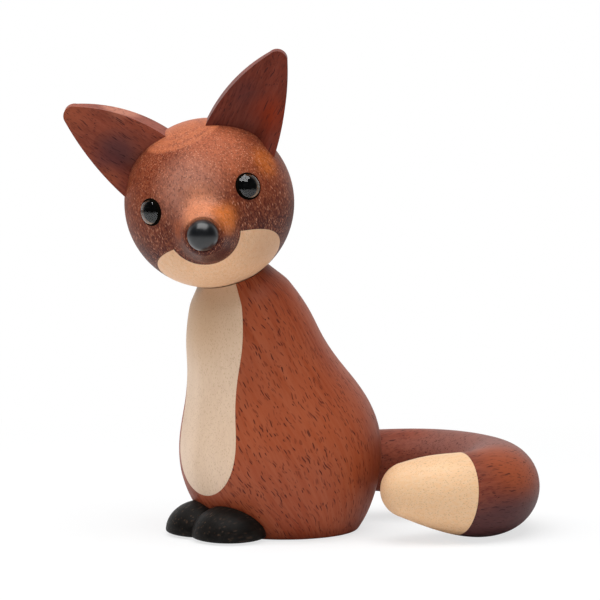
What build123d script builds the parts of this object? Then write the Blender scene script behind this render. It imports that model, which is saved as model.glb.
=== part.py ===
from build123d import *
import os
from math import atan2, cos, degrees, radians, sin, sqrt, tan, tau

# A seated fox, turned and glued up from two hardwoods, about 150 mm high.
# Millimetres. The table is z = 0, the fox looks along -Y and its own left is +X.
# The origin is where the torso's turning axis meets the table.

os.makedirs("parts", exist_ok=True)

# Torso: a pear turned about an axis that leans forward
lean = 17.66
belly_radius = 30.4
pear_length = 84.0
heel_slope = 19.7
crown_slope = 125.5
base_edge = 1.2

# Stations up the axis as shares of pear_length, and radii there as shares of belly_radius
pear_section_shares = (
    (-0.095, 0.306),
    (0.048, 0.773),
    (0.3214, 1.0),
    (0.4524, 0.9178),
    (0.5643, 0.7862),
    (0.6869, 0.6776),
    (0.7857, 0.6184),
    (0.8929, 0.5099),
    (1.0, 0.3026),
)
belly_share = pear_section_shares[2][0]
breast_station_share = 0.82
breast_radius_share = 0.592

# Belly panel: the maple slab glued on before the pear is turned, cut along one flat joint
panel_thickness = 1.5
panel_top_thickness = 6.0

# Neck: the ball sits in a dish in the pear's top and turns on a pin
seat_depth = 3.98
seat_gap = 0.25
neck_forward_share = 0.0668
neck_pin_radius_share = 0.1316
neck_pin_in_torso = 16.0
neck_pin_in_head = 16.0
neck_running_gap = 0.06

# Head: a turned ball, its face turned to the fox's left
ball_radius = 25.0
head_turn = 49.3
head_tip = 1.9
chin_depth = 7.9
chin_fall = 45.2
chin_joint_radius = 35.0

# Muzzle: a tapered plug let into the ball, with the nose at its end
nose_radius = 4.5
nose_reach = 9.5
nose_drop = 0.1
nose_proud = 1.2
nose_spigot_radius = 1.5
nose_spigot_length = 5.0
muzzle_rise = 9.0
muzzle_length = 19.0
muzzle_root_radius = 10.8
muzzle_seam_length = 14.4
muzzle_seam_radius = 10.1
muzzle_bridge_length = 8.0
muzzle_bridge_radius = 8.1
muzzle_end_length = 3.2
muzzle_end_radius = 6.5
muzzle_roll_radius = 3.6
muzzle_lip = 0.7
muzzle_fillet = 5.0
muzzle_plug_radius = 10.8
muzzle_plug_aside = 0.9
muzzle_plug_up = 0.6

# Eyes: a domed glass over a painted disc, in a flat-bottomed bore
eye_radius = 4.0
eye_spread = 37.6
eye_rise = 15.2
eye_depth = 2.6
eye_disc = 0.6
eye_wall = 1.9
eye_dome = 2.0

# Ears: thick blades, scooped in front, coped to the ball
ear_lean = 40.8
ear_reach = 25.3
ear_half_width = 11.0
ear_inner_bulge = 2.0
ear_outer_bulge = 1.2
ear_tip_radius = 3.0
ear_tip_spread = 20.0
ear_front = 4.8
ear_front_slope = 8.5
ear_back = 5.2
ear_back_radius = 110.0
ear_back_rise = 4.0
ear_scoop_depth = 3.7
ear_scoop_rise = 18.5
ear_scoop_fade = 0.5
ear_scoop_narrowing_share = 0.4
ear_dowel_radius = 1.5
ear_dowel_length = 13.0
ear_dowel_spacing = 10.0
ear_dowel_back = 0.8

# Across the scoop at the ear's foot, from the inner edge to the outer one:
# places as shares of ear_half_width, depths as shares of ear_scoop_depth
ear_scoop_section_shares = (
    (-1.0, -0.05),
    (-0.55, 0.30),
    (-0.08, 0.70),
    (0.20, 0.95),
    (0.34, 1.0),
    (0.47, 0.80),
    (0.78, -0.05),
)

# Feet: two black domes under the front of the belly, meeting on the middle plane
foot_offset = 6.5
foot_half_width = 11.2
foot_half_length = 11.1
foot_height = 10.4
foot_swell = 1.5
foot_sole_depth = 1.8
foot_tuck = 5.4
foot_dowel_radius = 2.0
foot_dowel_length = 16.0
foot_dowel_height = 5.5
foot_dowel_back = 3.2

# Tail: a hook that curls round on the table to the fox's left, with a maple tip
tail_heading = 81.5
tail_bed = 6.0
tail_straight = 11.7
tail_first_radius = 25.0
tail_first_angle = 101.0
tail_second_radius = 19.7
tail_second_angle = 81.0
tail_third_radius = 64.0
tail_third_angle = 18.2
tail_radius = 13.15
tail_seam_share = 0.82
tail_seam_height_share = 1.03
tail_seam_tilt = 6.0
tail_end_slope = 20.0
tail_root_dowel_radius = 4.0
tail_root_dowel_length = 22.0
tail_tip_dowel_radius = 3.0
tail_tip_dowel_length = 16.0

# How far along the path, then the radius and the centre's height as shares of tail_radius
tail_section_shares = (
    (0.00, 0.67, 1.42),
    (0.10, 0.71, 1.385),
    (0.22, 0.775, 1.305),
    (0.35, 0.87, 1.205),
    (0.50, 0.96, 1.085),
    (0.63, 1.00, 1.02),
    (0.74, 0.985, 0.99),
    (tail_seam_share, 0.935, tail_seam_height_share),
    (0.92, 0.79, 1.13),
    (1.00, 0.59, 1.19),
)

# Glue lines and pin bores
glue_gap = 0.05
bore_end_gap = 0.6
overrun = 5.0

leaning = Rot(lean, 0, 0)
lean_cos = cos(radians(lean))
lean_sin = sin(radians(lean))
head_station = pear_length - seat_depth + seat_gap + ball_radius
neck_forward = neck_forward_share * belly_radius
neck_pin_radius = neck_pin_radius_share * belly_radius
head_place = leaning * Pos(0, -neck_forward, head_station)
head_frame = head_place * Rot(0, 0, head_turn) * Rot(0, -head_tip, 0)


def pin(radius, low, high):
    """A round pin or bore along Z between two heights."""
    return Pos(0, 0, (low + high) / 2) * Cylinder(radius, high - low)


def half_space(place, size):
    """A block on the far side of a plane whose outward direction is the place's Z."""
    return place * Pos(0, 0, size / 2) * Box(2 * size, 2 * size, size)


def make_pear():
    """The turned pear, leaned forward, flattened on the table and eased round its base."""
    start = (cos(radians(heel_slope)), sin(radians(heel_slope)))
    finish = (cos(radians(crown_slope)), sin(radians(crown_slope)))
    points = []
    for station_share, radius_share in pear_section_shares:
        points.append((radius_share * belly_radius, station_share * pear_length))
    side = Spline(*points, tangents=(start, finish))
    heel, crown = points[0], points[-1]
    ends = Polyline(crown, (0, crown[1]), (0, heel[1]), heel)
    blank = leaning * revolve(Plane.XZ * make_face([side, ends]), Axis.Z)
    pear = blank - half_space(Rot(180, 0, 0), pear_length)
    rim = pear.faces().sort_by(Axis.Z)[0].outer_wire().edges()
    return fillet(rim, base_edge)


def front_point(station, radius):
    """Where the pear's foremost line passes a station: how far along Y, and how high."""
    return -radius * lean_cos - station * lean_sin, station * lean_cos - radius * lean_sin


def panel_place():
    """The flat joint behind the belly panel, its Z pointing forward."""
    low = front_point(belly_share * pear_length, belly_radius)
    high = front_point(breast_station_share * pear_length, breast_radius_share * belly_radius)
    rise = high[1] - low[1]
    back = (high[0] + panel_top_thickness) - (low[0] + panel_thickness)
    return Pos(0, low[0] + panel_thickness, low[1]) * Rot(90 - degrees(atan2(back, rise)), 0, 0)


def make_torso(pear):
    """The mahogany block and the maple panel of the torso, dished for the head and bored."""
    size = 2 * belly_radius + pear_length
    dish = head_place * Sphere(ball_radius + seat_gap)
    seat = head_place * Pos(0, 0, -ball_radius - seat_gap)
    neck_bore = pin(neck_pin_radius + glue_gap, -neck_pin_in_torso - bore_end_gap, overrun)
    front = half_space(panel_place(), size)
    body = pear - front - dish - seat * neck_bore
    panel = (pear & front) - dish
    return body, panel


def make_neck_pin():
    """The hardwood pin that the head turns on."""
    seat = head_place * Pos(0, 0, -ball_radius - seat_gap)
    return seat * pin(neck_pin_radius, -neck_pin_in_torso, neck_pin_in_head)


def muzzle_place():
    """The muzzle's turning axis in the head, Z outward, from the centre of the nose."""
    return Pos(0, -ball_radius - nose_reach, -nose_drop) * Rot(90 - muzzle_rise, 0, 0)


def make_muzzle_blank():
    """The turned muzzle: a taper that hollows towards the end and rolls over at the nose."""
    back = (muzzle_root_radius, -muzzle_length)
    edge = (muzzle_end_radius, -muzzle_end_length)
    mouth = (nose_radius + muzzle_lip, -nose_proud)
    flank = Spline(
        back,
        (muzzle_seam_radius, -muzzle_seam_length),
        (muzzle_bridge_radius, -muzzle_bridge_length),
        edge,
    )
    roll = RadiusArc(edge, mouth, -muzzle_roll_radius)
    face_line = Line(mouth, (0, -nose_proud))
    axis = Line((0, -nose_proud), (0, -muzzle_length))
    heel = Line((0, -muzzle_length), back)
    return revolve(Plane.XZ * make_face([flank, roll, face_line, axis, heel]), Axis.Z)


def make_nose():
    """The nose: a ball turned in one piece with the spigot behind it."""
    return Sphere(nose_radius) + pin(nose_spigot_radius, -nose_radius - nose_spigot_length, 0)


def make_nose_socket():
    """The room for the nose and its spigot in the muzzle."""
    depth = nose_radius + nose_spigot_length + bore_end_gap
    return Sphere(nose_radius + glue_gap) + pin(nose_spigot_radius + glue_gap, -depth, 0)


def eye_place(side):
    """An eye's axis in the head, Z outward, from the centre of the ball."""
    return Rot(0, 0, side * eye_spread) * Rot(90 - eye_rise, 0, 0)


def make_eye_lens():
    """The domed glass of an eye, flat behind."""
    low = ball_radius - eye_depth + eye_disc
    tip = low + eye_wall + eye_dome
    dome_radius = (eye_radius**2 + eye_dome**2) / (2 * eye_dome)
    return pin(eye_radius, low, tip) & Pos(0, 0, tip - dome_radius) * Sphere(dome_radius)


def make_eye_disc():
    """The painted disc behind the glass: pupil and iris."""
    low = ball_radius - eye_depth
    return pin(eye_radius, low, low + eye_disc)


def make_eye_bore():
    """The bore for one eye in the ball."""
    return pin(eye_radius + glue_gap, ball_radius - eye_depth, ball_radius + overrun)


def ear_foot():
    """How far up an ear's axis the corners of its base meet the ball."""
    return sqrt(ball_radius**2 - ear_half_width**2)


def make_ear_outline():
    """The left ear seen from in front, in the XZ plane with Z up the ear."""
    tip = ball_radius + ear_reach
    heel = (ear_half_width, ear_foot())
    across = ear_tip_radius * cos(radians(ear_tip_spread))
    shoulder = (across, tip - ear_tip_radius + ear_tip_radius * sin(radians(ear_tip_spread)))
    middle_x = (heel[0] + shoulder[0]) / 2
    middle_z = (heel[1] + shoulder[1]) / 2
    low = heel[1] - overrun
    outer = ThreePointArc(heel, (middle_x + ear_outer_bulge, middle_z), shoulder)
    top = ThreePointArc(shoulder, (0, tip), (-shoulder[0], shoulder[1]))
    inner = ThreePointArc(
        (-shoulder[0], shoulder[1]),
        (-middle_x - ear_inner_bulge, middle_z),
        (-heel[0], heel[1]),
    )
    bottom = Polyline((-heel[0], heel[1]), (-heel[0], low), (heel[0], low), heel)
    return Plane.XZ * make_face([outer, top, inner, bottom])


def ear_scoop_section(height):
    """The scoop's outline at a height above the ear's foot, open far out in front."""
    share = height / ear_scoop_rise
    narrow = 1 - share * ear_scoop_narrowing_share
    front = height * tan(radians(ear_front_slope)) - ear_front
    bed = []
    for across_share, depth_share in ear_scoop_section_shares:
        depth = depth_share * ear_scoop_depth * (1 - share) - share * ear_scoop_fade
        bed.append((across_share * ear_half_width * narrow, front + depth))
    inner, outer = bed[0], bed[-1]
    far = front - ear_front
    open_side = Polyline(outer, (outer[0], far), (inner[0], far), inner)
    return Pos(0, 0, ear_foot() + height) * make_face([Spline(*bed), open_side])


def make_ear_scoop():
    """The hollow down an ear's front: one gouged valley that fades out towards the tip."""
    return loft([ear_scoop_section(-overrun), ear_scoop_section(ear_scoop_rise)], ruled=True)


def make_ear_dowels():
    """The two dowels of an ear, side by side up its axis."""
    middle = sqrt(ball_radius**2 - (ear_dowel_spacing / 2) ** 2)
    one = pin(ear_dowel_radius, middle - ear_dowel_length / 2, middle + ear_dowel_length / 2)
    return [Pos(side * ear_dowel_spacing / 2, ear_dowel_back, 0) * one for side in (1, -1)]


def make_ear_bores():
    """The bores for an ear's two dowels, a little long at both ends."""
    middle = sqrt(ball_radius**2 - (ear_dowel_spacing / 2) ** 2)
    half = ear_dowel_length / 2 + bore_end_gap
    one = pin(ear_dowel_radius + glue_gap, middle - half, middle + half)
    left = Pos(ear_dowel_spacing / 2, ear_dowel_back, 0) * one
    return left + Pos(-ear_dowel_spacing / 2, ear_dowel_back, 0) * one


def make_ear():
    """The left ear along Z from the ball's centre, its scooped front towards -Y."""
    tip = ball_radius + ear_reach
    blade = extrude(make_ear_outline(), ear_front + ear_back, both=True)
    front = Pos(0, -ear_front, ear_foot()) * Rot(90 - ear_front_slope, 0, 0)
    back = Pos(0, ear_back - ear_back_radius, ear_foot() + ear_back_rise) * Sphere(ear_back_radius)
    blade = (blade & back) - half_space(front, tip) - make_ear_scoop()
    return blade - Sphere(ball_radius) - make_ear_bores()


def ear_place(side):
    """An ear's axis in the head: Z outward from the centre of the ball."""
    return Rot(0, side * ear_lean, 0)


def is_round_muzzle(edge):
    """Whether an edge of the ball and muzzle is the long one where the two meet."""
    return edge.length > tau * muzzle_bridge_radius and edge.geom_type != GeomType.CIRCLE


def make_head_block():
    """The ball, its maple chin and the muzzle's plug, bored for what they hold."""
    block = Sphere(ball_radius) + muzzle_place() * make_muzzle_blank()
    neck = [edge for edge in block.edges() if is_round_muzzle(edge)]
    block = fillet(neck, muzzle_fillet)
    for side in (1, -1):
        block -= eye_place(side) * make_eye_bore()
        block -= ear_place(side) * make_ear_bores()
    bore_top = neck_pin_in_head + bore_end_gap - seat_gap - ball_radius
    bore = pin(neck_pin_radius + neck_running_gap, -ball_radius - overrun, bore_top)
    block -= Rot(0, head_tip, 0) * bore
    plug = Pos(-muzzle_plug_aside, muzzle_plug_up, 0) * pin(muzzle_plug_radius, -muzzle_length, 0)
    muzzle = (block & muzzle_place() * plug) - muzzle_place() * make_nose_socket()
    ball = block - muzzle_place() * plug
    chin_axis = Rot(90 + chin_fall, 0, 0) * Pos(0, 0, ball_radius - chin_depth + chin_joint_radius)
    below = chin_axis * Rot(0, 90, 0) * Cylinder(chin_joint_radius, 3 * ball_radius)
    return ball - below, ball & below, muzzle


def make_foot(pear):
    """The left foot: a dome cut flat on the table and on the middle plane, coped to the belly."""
    front = -front_point(belly_share * pear_length, belly_radius)[0]
    place = Pos(foot_offset, foot_tuck - front, foot_swell)
    upper = scale(Sphere(1), by=(foot_half_width, foot_half_length, foot_height - foot_swell))
    under = scale(Sphere(1), by=(foot_half_width, foot_half_length, foot_sole_depth))
    level = half_space(Rot(0, 0, 0), 2 * foot_half_length)
    dome = place * ((upper & level) + (under - level))
    size = 2 * (foot_half_length + foot_half_width + foot_offset)
    foot = dome - half_space(Rot(180, 0, 0), size) - half_space(Rot(0, -90, 0), size)
    bore = foot_dowel_place() * pin(
        foot_dowel_radius + glue_gap, -foot_dowel_length / 2 - bore_end_gap, foot_dowel_length
    )
    return foot - pear - bore


def foot_dowel_place():
    """The left foot's dowel, its Z running back into the torso."""
    front = -front_point(belly_share * pear_length, belly_radius)[0]
    middle = foot_tuck + foot_dowel_back - front
    return Pos(foot_offset, middle, foot_dowel_height) * Rot(-90, 0, 0)


def tail_path():
    """The tail's centreline seen from above, from inside the torso to the tip."""
    start = (0, belly_radius * lean_cos - belly_share * pear_length * lean_sin - tail_bed)
    out = (cos(radians(tail_heading)), sin(radians(tail_heading)))
    bend = (start[0] + tail_straight * out[0], start[1] + tail_straight * out[1])
    run = Line(start, bend)
    first = JernArc(bend, out, tail_first_radius, -tail_first_angle)
    second = JernArc(first @ 1, first % 1, tail_second_radius, -tail_second_angle)
    third = JernArc(second @ 1, second % 1, tail_third_radius, -tail_third_angle)
    return Wire([run, first, second, third])


def tail_station(share, height_share):
    """A place on the tail's path, its Z along the path."""
    path = tail_path()
    point = path @ share
    along = path % share
    centre = (point.X, point.Y, height_share * tail_radius)
    return Plane(origin=centre, x_dir=(along.Y, -along.X, 0), z_dir=(along.X, along.Y, 0))


def make_tail(pear):
    """The whole tail, parted at its seam into the mahogany hook and the maple tip."""
    rounds = []
    for share, radius_share, height_share in tail_section_shares:
        rounds.append(tail_station(share, height_share) * Circle(radius_share * tail_radius))
    end_share = tail_section_shares[-1]
    cap_radius = end_share[1] * tail_radius / cos(radians(tail_end_slope))
    end = tail_station(1, end_share[2])
    cap = Location(end) * Pos(0, 0, -cap_radius * sin(radians(tail_end_slope))) * Sphere(cap_radius)
    whole = loft(rounds) + cap - pear
    seam = tail_seam()
    reach = 2 * tail_radius
    beyond = seam * Pos(0, 0, reach) * Box(2 * reach, 2 * reach, 2 * reach)
    return whole - beyond, whole & beyond


def tail_seam():
    """The flat joint between the hook and the maple tip, its Z towards the tip."""
    return Location(tail_station(tail_seam_share, tail_seam_height_share)) * Rot(tail_seam_tilt, 0, 0)


def tail_root():
    """Where the tail's path leaves the torso, its Z along the tail."""
    share, radius_share, height_share = tail_section_shares[0]
    return Location(tail_station(share, height_share)) * Pos(0, 0, tail_bed)


def make_all():
    """Every piece under its node's name, in its place."""
    pear = make_pear()
    torso, belly_panel = make_torso(pear)
    head_ball, chin_panel, muzzle = make_head_block()
    tail, tail_tip = make_tail(pear)
    foot = make_foot(pear)
    foot_dowel = foot_dowel_place() * pin(
        foot_dowel_radius, -foot_dowel_length / 2, foot_dowel_length / 2
    )
    foot_bore = foot_dowel_place() * pin(
        foot_dowel_radius + glue_gap,
        -foot_dowel_length / 2,
        foot_dowel_length / 2 + bore_end_gap,
    )
    root_dowel = tail_root() * pin(
        tail_root_dowel_radius, -tail_root_dowel_length / 2, tail_root_dowel_length / 2
    )
    root_half = tail_root_dowel_length / 2 + bore_end_gap
    root_bore = tail_root() * pin(tail_root_dowel_radius + glue_gap, -root_half, root_half)
    tip_dowel = tail_seam() * pin(
        tail_tip_dowel_radius, -tail_tip_dowel_length / 2, tail_tip_dowel_length / 2
    )
    tip_half = tail_tip_dowel_length / 2 + bore_end_gap
    tip_bore = tail_seam() * pin(tail_tip_dowel_radius + glue_gap, -tip_half, tip_half)
    torso = torso - root_bore - foot_bore - mirror(foot_bore, Plane.YZ)
    nose_place = head_frame * muzzle_place()
    pieces = {
        "torso": torso,
        "belly_panel": belly_panel,
        "neck_pin": make_neck_pin(),
        "head_ball": head_frame * head_ball,
        "chin_panel": head_frame * chin_panel,
        "muzzle": head_frame * muzzle,
        "nose": nose_place * make_nose(),
        "foot_left": foot,
        "foot_right": mirror(foot, Plane.YZ),
        "foot_dowel_left": foot_dowel,
        "foot_dowel_right": mirror(foot_dowel, Plane.YZ),
        "tail": tail - root_bore - tip_bore,
        "tail_tip": tail_tip - tip_bore,
        "tail_root_dowel": root_dowel,
        "tail_tip_dowel": tip_dowel,
    }
    ear = make_ear()
    for side, hand in ((1, "left"), (-1, "right")):
        blade = ear if side == 1 else mirror(ear, Plane.YZ)
        place = head_frame * ear_place(side)
        pieces["ear_" + hand] = place * blade
        pieces["ear_dowels_" + hand] = Compound([place * dowel for dowel in make_ear_dowels()])
        pieces["eye_glass_" + hand] = head_frame * eye_place(side) * make_eye_lens()
        pieces["eye_disc_" + hand] = head_frame * eye_place(side) * make_eye_disc()
    return pieces


for node, piece in make_all().items():
    solids = piece.solids()
    box = piece.bounding_box()
    print(node, len(solids), round(piece.volume, 1), [round(v, 2) for v in (*box.min, *box.max)])
    export_step(piece, "parts/" + node + ".step")
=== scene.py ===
# %% [markdown]
# A seated wooden fox, about 145 mm high, turned and glued up from two hardwoods.
# Every cell adds one thing: first the view, the light and the table, then the shared wood
# effects, then each finish, and last the pieces that the plain model leaves too simple.

import math

import bmesh
import bpy
from mathutils import Matrix, Vector


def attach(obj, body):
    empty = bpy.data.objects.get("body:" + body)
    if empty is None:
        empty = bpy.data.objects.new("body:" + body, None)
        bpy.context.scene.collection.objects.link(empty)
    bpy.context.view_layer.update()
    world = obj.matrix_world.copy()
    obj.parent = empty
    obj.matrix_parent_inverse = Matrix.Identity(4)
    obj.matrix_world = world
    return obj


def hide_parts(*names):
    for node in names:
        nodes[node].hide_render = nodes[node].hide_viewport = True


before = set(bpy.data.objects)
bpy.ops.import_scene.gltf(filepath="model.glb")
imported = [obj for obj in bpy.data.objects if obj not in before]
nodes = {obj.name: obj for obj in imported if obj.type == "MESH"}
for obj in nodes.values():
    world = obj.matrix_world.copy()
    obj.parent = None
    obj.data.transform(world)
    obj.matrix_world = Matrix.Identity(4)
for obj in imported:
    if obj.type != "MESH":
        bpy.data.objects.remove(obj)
scene = bpy.context.scene
scene.view_settings.view_transform = "Standard"
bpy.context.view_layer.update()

# %% [markdown]
# Three small frames carry all patterns. The torso was turned about an axis that leans
# forward. The head has its own frame, turned to the fox's left about that same leaning
# axis. A wood pattern is centred and turned into the frame of its own piece, because the
# grain belongs to the block a piece was cut from.

# %% Frames of the torso and the head
LEAN = math.radians(17.66)
HEAD_TURN = math.radians(49.3)
HEAD_TIP = math.radians(1.9)
BALL_RADIUS = 0.025
HEAD_CENTRE = Vector((0, -0.03388, 0.0997))
torso_axes = Matrix.Rotation(LEAN, 4, "X")
head_axes = torso_axes @ Matrix.Rotation(HEAD_TURN, 4, "Z") @ Matrix.Rotation(-HEAD_TIP, 4, "Y")
head_frame = Matrix.Translation(HEAD_CENTRE) @ head_axes
print("head centre in mm:", [round(v * 1000, 1) for v in HEAD_CENTRE])

# %% [markdown]
# The photograph was taken from the fox's front left, a little above the table, with a long
# lens: the near foot is hardly larger than the far one. A camera's own axes are its right,
# its up and its back, so those three vectors are the columns of its matrix.

# %% Camera
VIEW_AZIMUTH = math.radians(52.4)
VIEW_ELEVATION = math.radians(5.6234)
CAMERA_PLACE = (0.80735, -0.62196, 0.16925)
LENS_LENGTH = 204.1
SENSOR_WIDTH = 36
FARTHEST_SEEN = 20
back = Vector((
    math.sin(VIEW_AZIMUTH) * math.cos(VIEW_ELEVATION),
    -math.cos(VIEW_AZIMUTH) * math.cos(VIEW_ELEVATION),
    math.sin(VIEW_ELEVATION),
))
right = Vector((math.cos(VIEW_AZIMUTH), math.sin(VIEW_AZIMUTH), 0))
lens = bpy.data.cameras.new("long_lens")
lens.lens = LENS_LENGTH
lens.sensor_width = SENSOR_WIDTH
lens.clip_end = FARTHEST_SEEN
camera = bpy.data.objects.new("camera", lens)
camera.matrix_world = (
    Matrix.Translation(CAMERA_PLACE)
    @ Matrix((right, back.cross(right), back)).transposed().to_4x4()
)
scene.collection.objects.link(camera)
scene.camera = camera
print("lens:", lens.lens, "mm")

# %% [markdown]
# A product photograph has one large soft box over the object and pale walls round it. The
# black nose shows that: one bright patch near its top, a dark middle, and the table below.
# Soft light comes from area lamps that are large beside the object. Two more boxes fill the
# sides. No gloss mirrors these, because the photograph shows one highlight only.

# %% Lamps
def add_softbox(name, place, target, width, depth, power, mirrored):
    """A rectangular area lamp that looks from its place to a target."""
    data = bpy.data.lights.new(name, "AREA")
    data.shape = "RECTANGLE"
    data.size, data.size_y, data.energy = width, depth, power
    lamp = bpy.data.objects.new(name, data)
    lamp.location = place
    aim = Vector(target) - Vector(place)
    lamp.rotation_euler = aim.to_track_quat("-Z", "Y").to_euler()
    lamp.visible_glossy = mirrored
    scene.collection.objects.link(lamp)
    return lamp


OBJECT_MIDDLE = (0.01, -0.01, 0.07)
softboxes = [
    add_softbox("softbox_above", (0.12, -0.14, 0.80), OBJECT_MIDDLE, 0.85, 0.65, 7.6, True),
    add_softbox("softbox_left", (-0.45, -0.70, 0.80), OBJECT_MIDDLE, 0.60, 0.60, 4.0, False),
    add_softbox("softbox_right", (1.05, 0.10, 0.50), OBJECT_MIDDLE, 0.50, 0.60, 1.0, False),
]
print("lamps:", [lamp.name for lamp in softboxes])

# %% [markdown]
# The world is the room. The camera and clear glass see it white. A gloss sees it white too,
# except on the photographer's own side, which is unlit: that is why the nose and the eyes
# stay black in their middle. What lights the object is weaker than what is seen, so the
# white background costs no contrast.

# %% World
world = bpy.data.worlds.new("pale_room")
world.use_nodes = True
scene.world = world
sky = world.node_tree
sky_paths = sky.nodes.new("ShaderNodeLightPath")
sky_place = sky.nodes.new("ShaderNodeTexCoord")
unlit_side = sky.nodes.new("ShaderNodeVectorMath")
unlit_side.operation = "DOT_PRODUCT"
unlit_side.inputs[1].default_value = (back.x, back.y, 0.0)
sky.links.new(sky_place.outputs["Generated"], unlit_side.inputs[0])
MIRRORED_ROOM = {"From Min": -0.85, "From Max": 0.0, "To Min": 1.0, "To Max": 0.05}
ROOM_LIGHT = 0.21
ROOM_WHITE = 1.0
room_seen = sky.nodes.new("ShaderNodeMapRange")
room_seen.interpolation_type = "SMOOTHSTEP"
for socket, value in MIRRORED_ROOM.items():
    room_seen.inputs[socket].default_value = value
sky.links.new(unlit_side.outputs["Value"], room_seen.inputs["Value"])


def add_sky_choice(ray, otherwise, seen):
    """The world's strength for one kind of ray, and what it is for the others."""
    # A Mix node keeps the sockets of all its kinds: 0 is the factor, 2 and 3 are the numbers
    choice = sky.nodes.new("ShaderNodeMix")
    for socket, operand in zip(choice.inputs[:1] + choice.inputs[2:4], (ray, otherwise, seen)):
        if isinstance(operand, bpy.types.NodeSocket):
            sky.links.new(operand, socket)
        else:
            socket.default_value = operand
    return choice.outputs[0]


strength = ROOM_LIGHT
for ray, seen in (
    ("Is Glossy Ray", room_seen.outputs["Result"]),
    ("Is Transmission Ray", ROOM_WHITE),
    ("Is Camera Ray", ROOM_WHITE),
):
    strength = add_sky_choice(sky_paths.outputs[ray], strength, seen)
sky_background = sky.nodes["Background"]
sky_background.inputs["Color"].default_value = (1, 1, 1, 1)
sky.links.new(strength, sky_background.inputs["Strength"])
print("world:", world.name)

# %% [markdown]
# The table is one large pale sheet. Beside the fox most of what the camera sees of it is its
# own white, and the rest is lit, so it takes the soft shadow that shows where the fox
# stands. Further out the lit part fades, and the sheet goes over into the white background.

# %% Table
TABLE_REACH = 4.0
TABLE_COLOUR = (0.88, 0.89, 0.90, 1)
TABLE_ROUGHNESS = 0.9
OWN_WHITE = {"From Min": 0.09, "From Max": 0.26, "To Min": 0.70, "To Max": 1.0}
table_bm = bmesh.new()
bmesh.ops.create_grid(table_bm, x_segments=1, y_segments=1, size=TABLE_REACH)
table_mesh = bpy.data.meshes.new("table")
table_bm.to_mesh(table_mesh)
table_bm.free()
table = bpy.data.objects.new("table", table_mesh)
scene.collection.objects.link(table)
table_finish = bpy.data.materials.new("pale_table")
table_finish.use_nodes = True
sheet = table_finish.node_tree
sheet_surface = sheet.nodes["Principled BSDF"]
sheet_surface.inputs["Base Color"].default_value = TABLE_COLOUR
sheet_surface.inputs["Roughness"].default_value = TABLE_ROUGHNESS
sheet_place = sheet.nodes.new("ShaderNodeTexCoord")
sheet_reach = sheet.nodes.new("ShaderNodeVectorMath")
sheet_reach.operation = "LENGTH"
sheet.links.new(sheet_place.outputs["Object"], sheet_reach.inputs[0])
sheet_white = sheet.nodes.new("ShaderNodeMapRange")
for socket, value in OWN_WHITE.items():
    sheet_white.inputs[socket].default_value = value
sheet.links.new(sheet_reach.outputs["Value"], sheet_white.inputs["Value"])
sheet_glow = sheet.nodes.new("ShaderNodeEmission")
sheet_mix = sheet.nodes.new("ShaderNodeMixShader")
sheet_paths = sheet.nodes.new("ShaderNodeLightPath")
sheet_share = sheet.nodes.new("ShaderNodeMath")
sheet_share.operation = "MULTIPLY"
sheet.links.new(sheet_paths.outputs["Is Camera Ray"], sheet_share.inputs[0])
sheet.links.new(sheet_white.outputs["Result"], sheet_share.inputs[1])
sheet.links.new(sheet_share.outputs[0], sheet_mix.inputs["Fac"])
sheet.links.new(sheet_surface.outputs["BSDF"], sheet_mix.inputs[1])
sheet.links.new(sheet_glow.outputs["Emission"], sheet_mix.inputs[2])
sheet.links.new(sheet_mix.outputs["Shader"], sheet.nodes["Material Output"].inputs["Surface"])
table_mesh.materials.append(table_finish)
print("table:", table.name)

# %% [markdown]
# Three effects make all the woods here. The figure is the slow change of colour through a
# block: growth layers and long fibres. Pores are the short dark dashes of open-grained
# hardwood, cut vessels that run along the grain and turn to dots on end grain. Flecks are
# the fine pale dots of the turned head. Each is one node group, built once, and every wood
# gives it its own values. A group reads a point in millimetres with the grain along Z.

# %% Helpers for node groups
def new_group(name, inputs, outputs):
    """An empty node group with float or vector inputs and float outputs."""
    group = bpy.data.node_groups.new(name, "ShaderNodeTree")
    for socket, value in inputs.items():
        kind = "NodeSocketVector" if value is None else "NodeSocketFloat"
        made = group.interface.new_socket(socket, in_out="INPUT", socket_type=kind)
        if value is not None:
            made.default_value = value
    for socket in outputs:
        group.interface.new_socket(socket, in_out="OUTPUT", socket_type="NodeSocketFloat")
    return group, group.nodes.new("NodeGroupInput"), group.nodes.new("NodeGroupOutput")


def add_math(tree, operation, first, second=None, third=None, clamp=False):
    """One Math node whose operands are sockets or plain numbers; returns its output."""
    node = tree.nodes.new("ShaderNodeMath")
    node.operation = operation
    node.use_clamp = clamp
    for place, operand in enumerate((first, second, third)):
        if isinstance(operand, bpy.types.NodeSocket):
            tree.links.new(operand, node.inputs[place])
        elif operand is not None:
            node.inputs[place].default_value = operand
    return node.outputs[0]


def add_stretch(tree, point, across, along):
    """A point with its X and Y times one number and its Z times another."""
    split = tree.nodes.new("ShaderNodeSeparateXYZ")
    join = tree.nodes.new("ShaderNodeCombineXYZ")
    tree.links.new(point, split.inputs[0])
    for axis, factor in (("X", across), ("Y", across), ("Z", along)):
        tree.links.new(add_math(tree, "MULTIPLY", split.outputs[axis], factor), join.inputs[axis])
    return join.outputs[0]


def add_noise(tree, point, scale, detail=2.0):
    """A Noise texture read at a point; returns its value."""
    noise = tree.nodes.new("ShaderNodeTexNoise")
    noise.inputs["Scale"].default_value = scale
    noise.inputs["Detail"].default_value = detail
    noise.inputs["Roughness"].default_value = 0.55
    tree.links.new(point, noise.inputs["Vector"])
    return noise.outputs["Fac"]


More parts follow.
